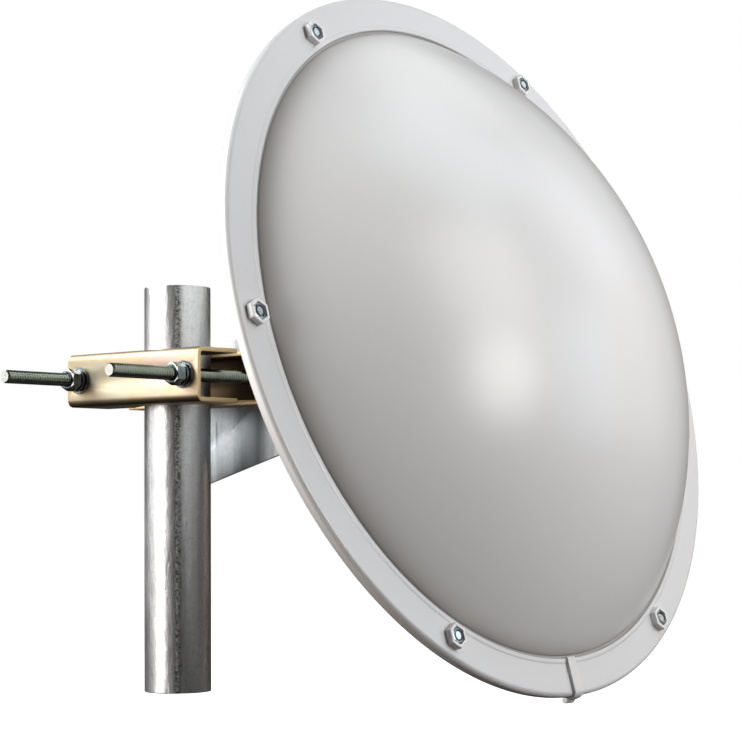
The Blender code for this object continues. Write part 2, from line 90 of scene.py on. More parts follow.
DISH_TILT = math.radians(16)
DISH_ACROSS = 140 * MM
RIM_AHEAD = 186 * MM
AXIS_BELOW = 17 * MM
RIM_RADIUS = 325 * MM
SKIRT_DEPTH = 9.5 * MM
EDGE_ROUND = 4 * MM
LIP_INNER, LIP_OUTER, LIP_RISE = 293 * MM, 297 * MM, 1 * MM
DOME_RADIUS, DOME_RISE, DOME_POWER = 289.7 * MM, 127.9 * MM, 0.876
RADOME_WALL = 3 * MM
REFLECTOR_DEPTH, REFLECTOR_MOUTH, REFLECTOR_SHEET = 125 * MM, 295 * MM, 2.2 * MM
REFLECTOR_FACE = -5 * MM
BOLT_CIRCLE = 307 * MM
BOSS_ACROSS, BOSS_FOOT, BOSS_TOP = 19 * MM, -1.5 * MM, 6.2 * MM
RECESS_ACROSS, RECESS_FLOOR = 13.6 * MM, 1.2 * MM
RIM_NUT_ACROSS, RIM_NUT_HEIGHT, RIM_NUT_LOW = 12.6 * MM, 4.2 * MM, 1.5 * MM
CLIP_START, CLIP_LEFT, CLIP_WIDTH = 291.8 * MM, -6.6 * MM, 11.5 * MM
CLIP_TOP, CLIP_SIDE, CLIP_BEAD = 3.1 * MM, 1.8 * MM, 3 * MM
PLATE_X = JAW_WEB_X + GAP
PLATE_SHEET = 4 * MM
PLATE_TOP, PLATE_FOOT, PLATE_REAR = 53 * MM, -67 * MM, -150 * MM
BACK_FACE = 43.7 * MM
BACK_WIDTH = 162 * MM
SLOT_SWING = math.radians(18.6)
HUB_OUTER, HUB_BORE = 85 * MM, 36 * MM
HUB_BOLTS = [(sx * 50 * MM, sy * 44 * MM) for sx in (-1, 1) for sy in (-1, 1)]
HUB_WASHER_BORE, HUB_WASHER_RADIUS, HUB_WASHER_SHEET = 4.2 * MM, 8 * MM, 1.6 * MM
BOLT_RADIUS, BOLT_ACROSS, BOLT_HEAD = 4 * MM, 13 * MM, 5.3 * MM
FEED_TUBE, FEED_TOP, CONE_RADIUS, CONE_TOP = 14 * MM, 20 * MM, 38 * MM, 51 * MM

PIVOT = Matrix.Translation((0, -ROD_Y, 0)) @ Matrix.Rotation(math.pi / 2 - DISH_TILT, 4, "X")
DISH = PIVOT @ Matrix.Translation((DISH_ACROSS, -AXIS_BELOW, RIM_AHEAD))
FACING = DISH.to_3x3() @ Vector((0, 0, 1))

# An outline is drawn in x and y and drawn out along z: these put its axes back in order.
SWAP_YZ = Matrix(((1, 0, 0, 0), (0, 0, 1, 0), (0, 1, 0, 0), (0, 0, 0, 1)))
# From (forward, up, depth) to the pivot's frame: depth along X, up along Y, forward along Z
SIDE_PLANE = Matrix(((0, 0, 1, 0), (0, 1, 0, 0), (1, 0, 0, 0), (0, 0, 0, 1)))

# Camera, fitted to the view
CAMERA_PLACE = Vector((-1.3714, -1.3561, -0.1130))
CAMERA_AZIMUTH, CAMERA_ELEVATION, CAMERA_ROLL = -50.565, -3.579, -0.396
CAMERA_LENS = 102.48
SUBJECT = Vector((0.14, -0.2, 0.03))
FLOOR_HEIGHT = CAD_BOX[0][2] - 140 * MM  # clear of the dish at its lowest elevation
SEAM_ANGLE = math.atan2(CAMERA_PLACE.y, CAMERA_PLACE.x)  # the mast's seam is turned to the camera


# Node materials


class Look:
    """A material under construction: each call adds a node and gives back its output socket."""

    def __init__(self, name, metallic=0.0):
        self.material = bpy.data.materials.new(name)
        self.material.use_nodes = True
        self.tree = self.material.node_tree
        self.shader = self.tree.nodes["Principled BSDF"]
        self.shader.inputs["Metallic"].default_value = metallic
        self.place = self.node("ShaderNodeTexCoord").outputs["Object"]

    def node(self, kind, **settings):
        made = self.tree.nodes.new(kind)
        for key, value in settings.items():
            setattr(made, key, value)
        return made

    def feed(self, socket, value):
        if isinstance(value, bpy.types.NodeSocket):
            self.tree.links.new(value, socket)
        elif hasattr(socket.default_value, "__len__") and not hasattr(value, "__len__"):
            socket.default_value = (value, value, value, 1)[: len(socket.default_value)]
        elif hasattr(value, "__len__") and len(value) < len(socket.default_value):
            socket.default_value = (*value, 1)
        else:
            socket.default_value = value

    def stretched(self, x, y, z, turn=(0, 0, 0)):
        made = self.node("ShaderNodeMapping")
        self.feed(made.inputs["Vector"], self.place)
        self.feed(made.inputs["Scale"], (x, y, z))
        self.feed(made.inputs["Rotation"], turn)
        return made.outputs[0]

    def noise(self, scale, detail=2.0, rough=0.5, place=None, distort=0.0):
        made = self.node("ShaderNodeTexNoise")
        self.feed(made.inputs["Vector"], place or self.place)
        settings = {"Scale": scale, "Detail": detail, "Roughness": rough, "Distortion": distort}
        for key, value in settings.items():
            self.feed(made.inputs[key], value)
        return made.outputs["Fac"]

    def cells(self, scale):
        """The distance to the middle of the nearest cell."""
        made = self.node("ShaderNodeTexVoronoi")
        self.feed(made.inputs["Vector"], self.place)
        self.feed(made.inputs["Scale"], scale)
        return made.outputs["Distance"]

    def axis(self, letter):
        """The place's own X, Y or Z."""
        made = self.node("ShaderNodeSeparateXYZ")
        self.feed(made.inputs[0], self.place)
        return made.outputs[letter]

    def ramp(self, value, *stops):
        made = self.node("ShaderNodeValToRGB")
        self.feed(made.inputs[0], value)
        points = made.color_ramp.elements
        while len(points) < len(stops):
            points.new(0.5)
        for point, (where, colour) in zip(points, stops):
            point.position = where
            point.color = (*colour, 1) if hasattr(colour, "__len__") else (colour, colour, colour, 1)
        return made.outputs[0]

    def math(self, operation, *values):
        made = self.node("ShaderNodeMath", operation=operation)
        for socket, value in zip(made.inputs, values):
            self.feed(socket, value)
        return made.outputs[0]

    def vector(self, operation, *values):
        made = self.node("ShaderNodeVectorMath", operation=operation)
        for socket, value in zip(made.inputs, values):
            self.feed(socket, value)
        return made.outputs["Value" if operation in ("DOT_PRODUCT", "LENGTH") else "Vector"]

    def span(self, value, low, high, to_low, to_high):
        made = self.node("ShaderNodeMapRange")
        for socket, number in zip(made.inputs, (value, low, high, to_low, to_high)):
            self.feed(socket, number)
        return made.outputs[0]

    def mix(self, factor, first, second):
        made = self.node("ShaderNodeMix", data_type="RGBA")
        self.feed(made.inputs[0], factor)
        self.feed(made.inputs[6], first)
        self.feed(made.inputs[7], second)
        return made.outputs[2]

    def colour(self, value):
        self.feed(self.shader.inputs["Base Color"], value)

    def rough(self, value):
        self.feed(self.shader.inputs["Roughness"], value)

    def bump(self, *layers):
        """Layers of (height socket, distance in metres), one over the other."""
        normal = None
        for height, distance in layers:
            made = self.node("ShaderNodeBump")
            self.feed(made.inputs["Height"], height)
            self.feed(made.inputs["Distance"], distance)
            if normal:
                self.feed(made.inputs["Normal"], normal)
            normal = made.outputs[0]
        self.feed(self.shader.inputs["Normal"], normal)


def shade(tone, *shares):
    """The tone times one share, or times one a channel."""
    return [c * share for c, share in zip(tone, shares * 3 if len(shares) == 1 else shares)]


def plastic_look(name, tone, roughness, painted_light=None):
    """Moulded or powder coated white, with painted light and shade over it where they are given."""
    look = Look(name)
    fine = look.noise(3, 1, 0.4)
    base = look.mix(fine, shade(tone, 0.995), tone)
    look.colour(painted_light(look, base, tone) if painted_light else base)
    look.rough(look.math("MULTIPLY_ADD", fine, 0.008, roughness - 0.004))
    look.bump((look.noise(900, 1, 0.5), 0.0000002))
    return look.material


def radome_painted_light(look, base, tone):
    """Painted shade on the dome at its foot and silhouette and in the channel, a darker flange, and painted
    light on the rim wall, paler low down.
    """
    offset = look.vector("SUBTRACT", look.place, DISH.translation)
    level = look.vector("DOT_PRODUCT", offset, FACING)
    radius = look.vector("LENGTH", look.vector("CROSS_PRODUCT", offset, FACING))
    within = look.span(radius, LIP_INNER - 0.4 * MM, LIP_INNER + 0.1 * MM, 1.0, 0.0)
    # Painted shade: the dome darkened towards its foot and along its silhouette, where it turns from the view
    low = look.span(level, 1.4 * MM, 20 * MM, 1.0, 0.0)
    foot = look.math("MULTIPLY", look.math("POWER", low, 2.5), 0.7)
    grazing = look.node("ShaderNodeLayerWeight")
    grazing.inputs["Blend"].default_value = 0.5
    silhouette = look.span(grazing.outputs["Facing"], 0.78, 1.0, 0.0, 0.7)
    dust_and_painted_shade = look.math("MULTIPLY", look.math("MAXIMUM", foot, silhouette), within)
    base = look.mix(dust_and_painted_shade, base, shade(tone, 0.61, 0.565, 0.53))
    flange = look.math("SUBTRACT", look.span(level, 1.0 * MM, 1.6 * MM, 1.0, 0.0), within)
    base = look.mix(flange, base, shade(tone, 0.86, 0.865, 0.88))
    # Painted shade in the narrow channel at the dome's foot
    channel = look.math("MULTIPLY", look.span(level, -1.0 * MM, 0.8 * MM, 0.85, 0.0), within)
    base = look.mix(channel, base, shade(tone, 0.35))
    # Painted light on the rim wall: paler low down, darker high up, by height
    wall = look.math("SUBTRACT", look.span(level, -2.5 * MM, -1.2 * MM, 1.0, 0.0), within)
    upper = look.span(look.axis("Z"), 0.02, 0.13, 0.0, 1.0)
    return look.mix(wall, base, look.mix(upper, (0.98, 0.94, 0.91), (0.54, 0.54, 0.54)))


def mast_look():
    """Hot-dip galvanised tube: spangle, runs along its length, and a rough seam on the side of the weld."""
    look = Look("mast_zinc", metallic=1.0)
    runs = look.noise(1, 4, 0.6, look.stretched(240, 240, 9))
    blotch = look.noise(34, 5, 0.62, look.stretched(1, 1, 0.35))
    spangle = look.cells(190)
    grain = look.noise(430, 3, 0.75)
    base = look.mix(blotch, (0.62, 0.63, 0.64), (0.84, 0.84, 0.83))
    base = look.mix(look.math("MULTIPLY", spangle, 0.5), base, (0.58, 0.59, 0.61))
    base = look.mix(look.span(runs, 0.35, 0.7, 0.0, 0.35), base, (0.50, 0.51, 0.52))
    seam = seam_mask(look)
    pits = look.span(look.noise(420, 4, 0.75), 0.42, 0.56, 1.0, 0.25)
    base = look.mix(look.math("MULTIPLY", seam, pits), base, (0.05, 0.05, 0.052))
    base = look.mix(look.span(grain, 0.5, 0.72, 0.0, 0.45), base, (0.34, 0.34, 0.34))
    look.colour(base)
    roughness = look.span(look.math("ADD", blotch, grain), 0.6, 1.4, 0.29, 0.47)
    look.rough(look.math("MAXIMUM", roughness, look.math("MULTIPLY", seam, 0.6)))
    look.bump(
        (blotch, 0.0012),
        (look.noise(260, 4, 0.65, look.stretched(1, 1, 0.5)), 0.00025),
        (grain, 0.0001),
    )
    return look.material


def seam_mask(look):
    """1 along the weld seam, which faces the way of SEAM_ANGLE, with a ragged edge."""
    x, y = math.cos(SEAM_ANGLE), math.sin(SEAM_ANGLE)
    across = look.vector("DOT_PRODUCT", look.place, (-y, x, 0))
    towards = look.vector("DOT_PRODUCT", look.place, (x, y, 0))
    ragged = look.math("MULTIPLY_ADD", look.noise(120, 4, 0.7, look.stretched(1, 1, 0.3)), 0.006, -0.003)
    distance = look.math("ABSOLUTE", look.math("ADD", across, ragged))
    band = look.span(distance, 0.0012, 0.0042, 1.0, 0.0)
    return look.math("MULTIPLY", band, look.math("GREATER_THAN", towards, 0.0))


def chromate_look():
    """Yellow chromate on zinc: satin gold drifting to pink, with painted shade inside the channel and on both
    bends of the web.
    """
    look = Look("yellow_chromate", metallic=1.0)
    drift = look.noise(21, 3, 0.5, look.stretched(1, 0.8, 1.4), 0.6)
    base = look.ramp(
        drift,
        (0.36, (0.52, 0.385, 0.33)),
        (0.46, (0.50, 0.405, 0.30)),
        (0.52, (0.48, 0.405, 0.265)),
        (0.60, (0.465, 0.43, 0.325)),
        (0.72, (0.51, 0.385, 0.31)),
    )
    smear = look.noise(90, 4, 0.65, look.stretched(1, 0.25, 1))
    base = look.mix(look.span(smear, 0.35, 0.75, 0.0, 0.35), base, (0.42, 0.31, 0.17))
    dust_and_painted_shade = look.ramp(look.noise(700, 2, 0.5), (0.66, 0), (0.74, 1))
    base = look.mix(look.math("MULTIPLY", dust_and_painted_shade, 0.3), base, (0.33, 0.25, 0.15))
    x, z, half = look.axis("X"), look.axis("Z"), JAW_HEIGHT / 2
    # Painted shade inside the channel, between its webs and flanges
    inside_webs = look.math("LESS_THAN", look.math("ABSOLUTE", x), JAW_WEB_X - JAW_SHEET + 0.4 * MM)
    inside_flanges = look.math("LESS_THAN", look.math("ABSOLUTE", z), half - JAW_SHEET + 0.4 * MM)
    base = look.mix(look.math("MULTIPLY", inside_webs, inside_flanges), base, (0.11, 0.075, 0.04))
    # Painted shade on the outer web's bends: near black on the lower bend, darker on the upper
    under = look.span(z, -half + 1 * MM, -half + 7 * MM, 0.95, 0.0)
    over = look.span(z, half - 7 * MM, half - 2 * MM, 0.0, 0.8)
    outer = look.span(x, -JAW_WEB_X + 4 * MM, -JAW_WEB_X + 8 * MM, 1.0, 0.0)
    base = look.mix(look.math("MULTIPLY", under, outer), base, (0.07, 0.045, 0.022))
    base = look.mix(look.math("MULTIPLY", over, outer), base, (0.27, 0.21, 0.13))
    look.colour(base)
    look.rough(look.span(look.math("ADD", smear, look.noise(500, 2)), 0.6, 1.4, 0.46, 0.58))
    look.bump((look.noise(40, 3, 0.5), 0.0004), (look.noise(600, 3, 0.6), 0.00003))
    return look.material


def edge_look():
    """The same finish on sheared edges: matte and browner, with drag lines."""
    look = Look("chromate_edge", metallic=1.0)
    lines = look.noise(300, 3, 0.6, look.stretched(1, 1, 6))
    look.colour(look.mix(lines, (0.52, 0.36, 0.17), (0.78, 0.60, 0.33)))
    look.rough(look.span(lines, 0.3, 0.7, 0.42, 0.6))
    look.bump((lines, 0.0001))
    return look.material


def sheet_zinc_look():
    """Galvanised sheet: blue-grey, in upright cloudy bands, with a few scratches and painted shade towards the
    rear end.
    """
    look = Look("sheet_zinc", metallic=1.0)
    cloud = look.noise(22, 3, 0.5, look.stretched(1, 1.6, 0.12), 0.3)
    fine = look.noise(240, 4, 0.6)
    dark, middle, light = (0.32, 0.37, 0.38), (0.62, 0.68, 0.71), (0.86, 0.92, 0.95)
    base = look.ramp(cloud, (0.40, dark), (0.5, middle), (0.60, light))
    base = look.mix(look.span(fine, 0.3, 0.7, 0.0, 0.22), base, (0.40, 0.43, 0.43))
    scratch = look.ramp(
        look.noise(60, 1, 0.3, look.stretched(2.5, 2.5, 0.3, (0.5, 0.2, 0.9))), (0.745, 0), (0.76, 1)
    )
    base = look.mix(look.math("MULTIPLY", scratch, 0.6), base, (0.2, 0.21, 0.22))
    # Painted shade: the side plate darker towards its rear end
    rear_painted_shade = look.math("MULTIPLY_ADD", cloud, 0.05, look.axis("Y"))
    side = look.math("LESS_THAN", look.axis("X"), PLATE_X + PLATE_SHEET + GAP)
    rear_painted_shade = look.math("MULTIPLY", look.span(rear_painted_shade, -0.085, -0.03, 0.75, 0.0), side)
    base = look.mix(rear_painted_shade, base, (0.16, 0.19, 0.20))
    look.colour(base)
    look.rough(look.span(look.math("ADD", cloud, fine), 0.6, 1.4, 0.34, 0.50))
    look.bump((cloud, 0.0006), (fine, 0.00004))
    return look.material


def metal_look(name, dark, light, low, high, scale=110, depth=0.00003):
    """A plated or cast metal: two tones drifting into each other, and roughness that follows them."""
    look = Look(name, metallic=1.0)
    patch = look.noise(scale, 4, 0.6)
    fine = look.noise(scale * 8, 3, 0.6)
    base = look.mix(look.span(patch, 0.35, 0.65, 0.0, 1.0), dark, light)
    base = look.mix(look.span(fine, 0.55, 0.75, 0.0, 0.25), base, shade(dark, 0.55))
    look.colour(base)
    look.rough(look.span(look.math("ADD", patch, fine), 0.6, 1.4, low, high))
    look.bump((patch, depth * 4), (fine, depth))
    return look.material


def soft_look(name, tone, low, high):
    """Rubber or unfilled plastic."""
    look = Look(name)
    patch = look.noise(60, 4, 0.6)
    look.colour(look.mix(patch, shade(tone, 0.8), tone))
    look.rough(look.span(patch, 0.3, 0.7, low, high))
    look.bump((look.noise(900, 2, 0.5), 0.00003))
    return look.material


LOOKS = {
    "radome": plastic_look("radome_plastic", (0.785, 0.78, 0.775), 0.288, radome_painted_light),
    "clip": plastic_look("clip_plastic", (0.70, 0.70, 0.695), 0.3),
    "reflector": plastic_look("white_powder_coat", (0.62, 0.625, 0.62), 0.42),
    "mast": mast_look(),
    "jaw": chromate_look(),
    "edge": edge_look(),
    "bracket": sheet_zinc_look(),
    "rod": metal_look("dull_zinc", (0.21, 0.24, 0.19), (0.27, 0.30, 0.245), 0.17, 0.25, 60, 0.00001),
    "cut": metal_look("sawn_zinc", (0.38, 0.39, 0.37), (0.52, 0.52, 0.50), 0.35, 0.5, 300),
    "zinc": metal_look("bright_zinc", (0.11, 0.135, 0.14), (0.26, 0.30, 0.32), 0.08, 0.17),
    "stud": metal_look("stud_zinc", (0.44, 0.50, 0.52), (0.64, 0.71, 0.74), 0.16, 0.28),
    "cast": metal_look("cast_aluminium", (0.46, 0.46, 0.45), (0.66, 0.66, 0.64), 0.42, 0.62, 180, 0.00008),
    "ptfe": soft_look("feed_ptfe", (0.86, 0.85, 0.80), 0.4, 0.55),
    "rubber": soft_look("gasket_rubber", (0.03, 0.03, 0.032), 0.6, 0.8),
}


# Mesh tools


def piece(name, shape, place, body, nodes, looks, smooth=32):
    """Makes a bmesh an object in the model's frame, riding on its body and standing for its CAD nodes."""
    bmesh.ops.remove_doubles(shape, verts=shape.verts, dist=1e-6)
    bmesh.ops.dissolve_degenerate(shape, edges=shape.edges, dist=1e-7)
    obj = as_object(moved(shape, place), name)
    obj.data.shade_smooth()
    obj.data.set_sharp_from_angle(angle=math.radians(smooth))
    for look in looks:
        obj.data.materials.append(LOOKS[look])
    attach(obj, body)
    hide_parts(*nodes)


def ring_of(shape, points):
    return [shape.verts.new(point) for point in points]


def circle(radius, height, steps):
    turns = [2 * math.pi * i / steps for i in range(steps)]
    return [(radius * math.cos(t), radius * math.sin(t), height) for t in turns]


def bridge(shape, first, second, material=0):
    """Joins two rings of as many points by faces."""
    count = len(first)
    for i in range(count):
        j = (i + 1) % count
        face = shape.faces.new((first[i], first[j], second[j], second[i]))
        face.material_index = material


def lathe(profile, steps):
    """A profile of (radius, height) turned about Z: a loop, unless it starts and ends on the axis."""
    shape = bmesh.new()
    rings = []
    for radius, height in profile:
        on_axis = radius < 1e-9
        rings.append(ring_of(shape, [(0, 0, height)] if on_axis else circle(radius, height, steps)))
    pairs = list(zip(rings, rings[1:]))
    if len(rings[0]) > 1:
        pairs.append((rings[-1], rings[0]))
    for first, second in pairs:
        if len(first) == len(second):
            bridge(shape, first, second)
            continue
        pole, ring = (first[0], second) if len(first) == 1 else (second[0], first)
        for i, vertex in enumerate(ring):
            shape.faces.new((vertex, ring[(i + 1) % steps], pole))
    return shape


def arc(centre, radius, start, end, steps):
    angles = [math.radians(start + (end - start) * i / steps) for i in range(steps + 1)]
    return [(centre[0] + radius * math.cos(a), centre[1] + radius * math.sin(a)) for a in angles]


def rounded(outline, radius, steps=3):
    """The outline of (x, y) points with each corner rounded; radius may be one number or one a corner."""
    made = []
    count = len(outline)
    for i, corner in enumerate(outline):
        size = radius[i] if hasattr(radius, "__len__") else radius
        here = Vector(corner)
        before, after = Vector(outline[i - 1]), Vector(outline[(i + 1) % count])
        if size <= 0:
            made.append(tuple(here))
            continue
        one, two = (before - here).normalized(), (after - here).normalized()
        half = math.acos(max(-1, min(1, one.dot(two)))) / 2
        reach = min(size / math.tan(half), (before - here).length * 0.49, (after - here).length * 0.49)
        start, end = here + one * reach, here + two * reach
        for k in range(steps + 1):
            t = k / steps
            made.append(tuple(start * (1 - t) ** 2 + here * 2 * t * (1 - t) + end * t**2))
    return made


def prism(outline, low, high, edge=0.0):
    """An outline of (x, y) points from z = low to high, with its rim eased by edge."""
    shape = bmesh.new()
    levels = [(low, edge), (low + edge * 0.3, edge * 0.3), (low + edge, 0)] if edge else [(low, 0)]
    levels += [(high - z + low, inset) for z, inset in reversed(levels)]
    rings = []
    for height, inset in levels:
        rings.append(ring_of(shape, [(x, y, height) for x, y in inset_outline(outline, inset)]))
    for first, second in zip(rings, rings[1:]):
        bridge(shape, first, second)
    shape.faces.new(rings[0])
    shape.faces.new(rings[-1])
    return shape


def inset_outline(outline, distance):
    """The outline drawn in by a distance all round."""
    if not distance:
        return outline
    area = sum(x0 * y1 - x1 * y0 for (x0, y0), (x1, y1) in zip(outline, outline[1:] + outline[:1]))
    side = 1 if area > 0 else -1
    made = []
    count = len(outline)
    for i, corner in enumerate(outline):
        here = Vector(corner)
        one = (here - Vector(outline[i - 1])).normalized()
        two = (Vector(outline[(i + 1) % count]) - here).normalized()
        normal = Vector((-one.y - two.y, one.x + two.x))
        stretch = max(normal.length / 2, 0.3)
        made.append(tuple(here + normal.normalized() * side * distance / stretch))
    return made


def linked(name, data):
    obj = bpy.data.objects.new(name, data)
    SCENE.collection.objects.link(obj)
    return obj


def as_object(shape, name):
    mesh = bpy.data.meshes.new(name)
    bmesh.ops.recalc_face_normals(shape, faces=shape.faces)
    shape.to_mesh(mesh)
    shape.free()
    return linked(name, mesh)


def carve(shape, cutters, bevel=0.0, segments=2, angle=30):
    """The shape less its cutters, with its hard edges bevelled, as a new bmesh."""
    body = as_object(shape, "body")
    helpers = [as_object(cutter, "cutter") for cutter in cutters]
    for helper in helpers:
        cut = body.modifiers.new("cut", "BOOLEAN")
        cut.solver = "EXACT"
        cut.object = helper
    if bevel:
        ease = body.modifiers.new("ease", "BEVEL")
        ease.width = bevel
        ease.segments = segments
        ease.limit_method = "ANGLE"
        ease.angle_limit = math.radians(angle)
    bpy.context.view_layer.update()
    graph = bpy.context.evaluated_depsgraph_get()
    mesh = bpy.data.meshes.new_from_object(body.evaluated_get(graph))
    made = bmesh.new()
    made.from_mesh(mesh)
    for helper in [body] + helpers:
        bpy.data.objects.remove(helper)
    return made


def oblong(inner, outer, low, high):
    return [(inner, low), (outer, low), (outer, high), (inner, high)]


def rod_shape(radius, low, high, steps=48):
    return lathe(oblong(0, radius, low, high), steps)


def moved(shape, matrix):
    bmesh.ops.transform(shape, matrix=matrix, verts=shape.verts)
    return shape


def along_x(x, y, direction=1):
    """Carries a piece made along Z to lie along X, from the given place."""
    return Matrix.Translation((x, y, 0)) @ Matrix.Rotation(math.radians(90 * direction), 4, "Y")


# Mast


def build_mast():
    """A cut length of tube: a weld bead on the outside, slight waves in the zinc, and sawn ends."""
    shape = bmesh.new()
    around, rows = 288, 210
    wave_height, bead_width, ease_depth, ease_length = 0.05 * MM, 1.7 * MM, 0.35 * MM, 0.5 * MM
    heights = [MAST_LOW, MAST_LOW + 0.15 * MM, MAST_LOW + ease_length]
    heights += [MAST_LOW + 1 * MM + (MAST_HIGH - MAST_LOW - 2 * MM) * i / rows for i in range(rows + 1)]
    heights += [MAST_HIGH - ease_length, MAST_HIGH - 0.15 * MM, MAST_HIGH]
    outside = []
    for height in heights:
        end = min(height - MAST_LOW, MAST_HIGH - height)
        ease = ease_depth * max(0, 1 - end / ease_length) ** 2
        points = []
        for i in range(around):
            turn = 2 * math.pi * i / around
            point = Vector((math.cos(turn), math.sin(turn), 0)) * MAST_RADIUS + Vector((0, 0, height))
            from_seam = math.remainder(turn - SEAM_ANGLE, 2 * math.pi) * MAST_RADIUS
            wave = min(noise.fractal(point * 60, 1.0, 2.0, 3), 1.0) * wave_height
            bead = math.exp(-((from_seam / bead_width) ** 2))
            lumps = 0.10 + 0.16 * noise.noise(Vector((from_seam * 300, 0, height * 520)))
            radius = MAST_RADIUS - 0.06 * MM + wave + bead * lumps * MM - ease
            points.append((radius * math.cos(turn), radius * math.sin(turn), height))
        outside.append(ring_of(shape, points))
    for first, second in zip(outside, outside[1:]):
        bridge(shape, first, second)
    inner = MAST_RADIUS - MAST_WALL
    levels = [(inner + 0.3 * MM, MAST_HIGH), (inner, MAST_HIGH - 0.4 * MM)]
    levels += [(inner, MAST_LOW + 0.4 * MM), (inner + 0.3 * MM, MAST_LOW)]
    rings = [outside[-1]]
    for radius, height in levels:
        rings.append(ring_of(shape, circle(radius, height, around)))
    rings.append(outside[0])
    for index, (first, second) in enumerate(zip(rings, rings[1:])):
        bridge(shape, first, second, material=1 if index in (0, 4) else 0)
    piece("mast_tube", shape, Matrix(), "mast", ["mast_section"], ["mast", "cut"])


# Clamp


def jaw_shape(tip):
    """A bent channel, web on the -X side, toothed Vs cut in both flanges and two holes for the rods."""
    half = JAW_HEIGHT / 2
    inner = JAW_BEND - JAW_SHEET
    corner = -JAW_WEB_X + JAW_BEND
    outline = (
        [(tip, -half)]
        + arc((corner, -half + JAW_BEND), JAW_BEND, 270, 180, 12)
        + arc((corner, half - JAW_BEND), JAW_BEND, 180, 90, 12)
        + [(tip, half), (tip, half - JAW_SHEET)]
        + arc((corner, half - JAW_BEND), inner, 90, 180, 8)
        + arc((corner, -half + JAW_BEND), inner, 180, 270, 8)
        + [(tip, -half + JAW_SHEET)]
    )
    shape = moved(prism(outline, -JAW_LENGTH / 2, JAW_LENGTH / 2), SWAP_YZ)
    cutters = [prism(notch_outline(tip), -JAW_HEIGHT, JAW_HEIGHT)]
    for side in (-1, 1):
        hole = rod_shape(ROD_RADIUS + 0.5 * MM, -10 * MM, 10 * MM)
        cutters.append(moved(hole, along_x(-JAW_WEB_X, side * ROD_Y)))
    return carve(shape, cutters, 0.45 * MM, 2, 35)


def notch_outline(tip):
    """A V with teeth along both sides, from its apex to past the jaw's tip."""
    clear = MAST_RADIUS + GAP
    apex = -clear / math.sin(NOTCH_HALF_ANGLE) - TOOTH_DEPTH
    run = tip - apex
    side = []
    for i in range(TEETH_A_SIDE):
        for part, depth in ((0, 0), (0.5, TOOTH_DEPTH)):
            along = (i + part + 0.5) / (TEETH_A_SIDE + 0.5)
            x = apex + run * along + depth * math.sin(NOTCH_HALF_ANGLE)
            y = run * along * math.tan(NOTCH_HALF_ANGLE) - depth * math.cos(NOTCH_HALF_ANGLE)
            side.append((x, y))
    mouth = (tip + 10 * MM, (run + 10 * MM) * math.tan(NOTCH_HALF_ANGLE))
    return [(apex, 0)] + [(x, -y) for x, y in side] + [(mouth[0], -mouth[1]), mouth] + side[::-1]


def mark_edges(shape, tip):
    """Gives the sheared ends of a jaw the edge finish."""
    for face in shape.faces:
        middle = face.calc_center_median()
        end = abs(abs(middle.y) - JAW_LENGTH / 2) < 0.3 * MM
        if end or abs(middle.x - tip) < 0.3 * MM:
            face.material_index = 1
        elif abs(face.normal.z) < 0.3 and middle.x > -JAW_WEB_X + 8 * MM:
            face.material_index = 1


def thread_shape(length, radius, pitch, chamfer, steps=28, depth=0.684 * MM):
    """A threaded bar along Z from 0: each column of points follows the helix, so the crests are clean."""
    shape = bmesh.new()
    parts = ((0.0, 0.0), (0.12, 0.0), (0.5, 1.0), (0.62, 1.0))
    turns = int(length / pitch) + 3
    columns = []
    for i in range(steps):
        angle = 2 * math.pi * i / steps
        column = []
        for turn in range(-1, turns):
            for part, deep in parts:
                height = max(0.0, min(length, pitch * (turn + part + i / steps)))
                end = min(height, length - height)
                size = radius - deep * depth
                size = min(size, radius - chamfer + end)
                column.append(shape.verts.new((size * math.cos(angle), size * math.sin(angle), height)))
        columns.append(column)
    last = len(parts)
    for i in range(steps):
        one, two = columns[i], columns[(i + 1) % steps]
        shift = 0 if i + 1 < steps else last
        for k in range(len(one) - 1):
            if k + shift + 1 < len(two):
                add_face(shape, [one[k], two[k + shift], two[k + shift + 1], one[k + 1]])
    for step, height in ((1, 0.0), (-1, length)):
        ring = [next(v for v in column[::step] if abs(v.co.z - height) < 1e-7) for column in columns]
        middle = shape.verts.new((0, 0, height))
        for i, vertex in enumerate(ring):
            add_face(shape, [vertex, ring[(i + 1) % steps], middle], 1)
    return shape


def add_face(shape, corners, material=0):
    """A face on the corners that lie apart, if there are three."""
    places = []
    kept = []
    for corner in corners:
        if all((corner.co - place).length > 1e-7 for place in places):
            places.append(corner.co.copy())
            kept.append(corner)
    if len(kept) > 2:
        face = shape.faces.new(kept)
        face.material_index = material


def nut_shape(across, bore, height, faces=(True, True), threaded=False, low=0.0):
    """A countersunk hexagonal nut from z = low; faces says if the low and the high face are chamfered."""
    shape = bmesh.new()
    per_side = 12
    flat = across / 2
    corner = across / math.sqrt(3) * 0.985
    flat_ring = flat * 0.94
    flare = math.tan(math.radians(28))
    sink = (0.9 if threaded else 0.3) * MM
    reaches = []
    for k in range(6 * per_side):
        local = math.radians(60 * (k % per_side) / per_side - 30)
        reaches.append(min(flat / math.cos(local), corner))
    loops = []
    for base, sign, chamfered in ((low + height, 1, faces[1]), (low, -1, faces[0])):
        edge = []
        for k, reach in enumerate(reaches):
            turn = 2 * math.pi * k / len(reaches)
            drop = max(0.0, reach - flat_ring) * flare if chamfered else 0.0
            edge.append((reach * math.cos(turn), reach * math.sin(turn), base - sign * drop))
        side = [
            circle(bore, base - sign * sink, len(reaches)),
            circle(bore + sink, base, len(reaches)),
            circle(flat_ring, base, len(reaches)),
            edge,
        ]
        loops += [ring_of(shape, points) for points in side[::sign]]
    for first, second in zip(loops, loops[1:] + loops[:1]):
        bridge(shape, first, second)
    return shape


def washer_shape(bore, outer, thickness):
    ease = min(0.35 * MM, thickness / 4)
    return lathe(rounded(oblong(bore, outer, 0, thickness), ease), 64)


